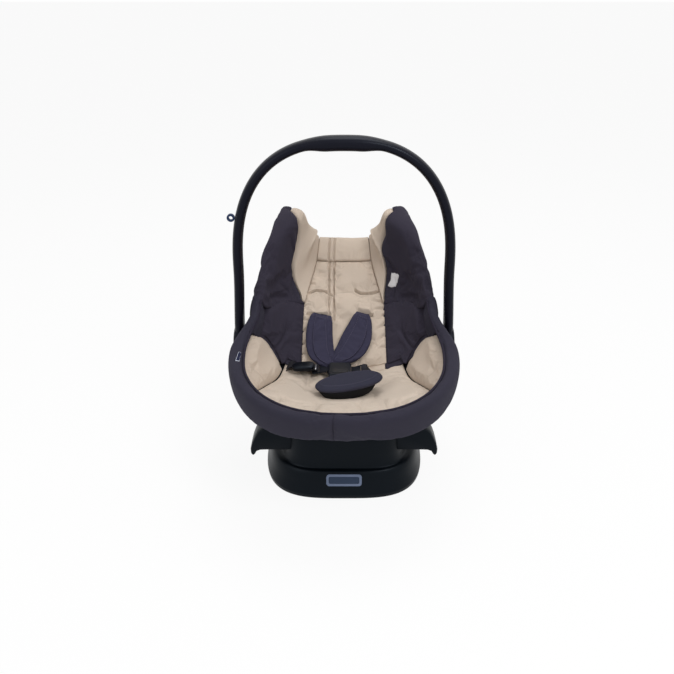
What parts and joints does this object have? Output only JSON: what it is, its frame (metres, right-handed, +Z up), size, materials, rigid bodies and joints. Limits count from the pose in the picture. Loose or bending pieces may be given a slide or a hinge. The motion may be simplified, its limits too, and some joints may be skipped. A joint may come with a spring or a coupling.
{
  "type": "infant car seat",
  "caption": "Rear-facing infant carrier with padded bucket, harness and swinging carry handle, latched onto a low vehicle base with belt guides",
  "frame": {"origin": "middle of the base underside, on the floor plane", "axes": "+X right of someone facing the foot end, -Y towards the foot end, +Z up"},
  "size_m": [0.437, 0.5678, 0.652],
  "materials": {
    "base_plastic": "moulded, faintly textured, near black",
    "foot_rubber": "matt",
    "steel": "zinc plated",
    "badge_rim": "satin grey-blue border",
    "badge_face": "grey-blue, blank",
    "shell_plastic": "moulded, near black",
    "foam": "expanded foam",
    "beige_fabric": "woven cotton, beige, quilted",
    "dark_fabric": "woven cotton, charcoal-plum",
    "webbing": "woven polyester webbing",
    "pad_fabric": "padded navy-charcoal, topstitched",
    "buckle_plastic": "satin black",
    "button_plastic": "satin black",
    "handle_plastic": "satin charcoal",
    "grip_plastic": "satin charcoal, slightly lighter",
    "ring_plastic": "navy"
  },
  "bodies": {
    "base": {"base_skirt": "base_plastic", "base_cradle": "base_plastic", "base_feet": "foot_rubber", "base_screws": "steel", "badge_frame": "badge_rim", "badge_plate": "badge_face", "belt_guide_left": "base_plastic", "belt_guide_right": "base_plastic", "catch_brackets": "steel", "catch_bar": "steel"},
    "carrier": {"carrier_shell": "shell_plastic", "rocker_left": "shell_plastic", "rocker_right": "shell_plastic", "foam_liner": "foam", "seat_pad": "beige_fabric", "side_lobe_left": "beige_fabric", "side_lobe_right": "beige_fabric", "back_pad": "beige_fabric", "side_panel_left": "dark_fabric", "side_panel_right": "dark_fabric", "wing_lining_left": "beige_fabric", "wing_lining_right": "beige_fabric", "wing_cover_left": "dark_fabric", "wing_cover_right": "dark_fabric", "head_cover": "beige_fabric", "rim_cover": "dark_fabric", "hub_pin_left": "steel", "hub_pin_right": "steel", "shoulder_strap_left": "webbing", "shoulder_strap_right": "webbing", "shoulder_pad_left": "pad_fabric", "shoulder_pad_right": "pad_fabric", "lap_strap_left": "webbing", "lap_strap_right": "webbing", "lap_anchors": "steel", "harness_yoke": "steel", "tongue_left": "buckle_plastic", "tongue_right": "buckle_plastic", "buckle_body": "buckle_plastic", "buckle_spring": "steel", "crotch_strap": "webbing", "crotch_pad": "pad_fabric", "lock_spring_left": "steel", "lock_spring_right": "steel", "latch_springs": "steel"},
    "handle": {"handle_bar": "handle_plastic", "handle_grip": "grip_plastic", "handle_ring": "ring_plastic"},
    "lock_button_left": {"lock_button_left": "handle_plastic"},
    "lock_button_right": {"lock_button_right": "handle_plastic"},
    "latch": {"latch_shaft": "steel", "latch_hooks": "steel", "latch_lever": "handle_plastic"},
    "buckle_button": {"buckle_button": "button_plastic"}
  },
  "joints": [
    {"name": "carrier_lift", "type": "slide", "parent": "base", "child": "carrier", "axis": [0, 0, 1], "range_m": [0, 0.13]},
    {"name": "handle_pivot", "type": "hinge", "parent": "carrier", "child": "handle", "pos_m": [0, 0.015, 0.24], "axis": [-1, 0, 0], "range_deg": [0, 110]},
    {"name": "lock_button_left_press", "type": "slide", "parent": "handle", "child": "lock_button_left", "axis": [1, 0, 0], "range_m": [0, 0.004], "stiffness_N_per_m": 900, "springref_m": -0.002},
    {"name": "lock_button_right_press", "type": "slide", "parent": "handle", "child": "lock_button_right", "axis": [-1, 0, 0], "range_m": [0, 0.004], "stiffness_N_per_m": 900, "springref_m": -0.002},
    {"name": "latch_release", "type": "hinge", "parent": "carrier", "child": "latch", "pos_m": [0, 0.118, 0.168], "axis": [1, 0, 0], "range_deg": [0, 22], "stiffness_Nm_per_rad": 1.5, "springref_deg": -14.32},
    {"name": "buckle_press", "type": "slide", "parent": "carrier", "child": "buckle_button", "axis": [0, 0, -1], "range_m": [0, 0.003], "stiffness_N_per_m": 700, "springref_m": -0.002, "deforming": ["buckle_spring"]}
  ]
}
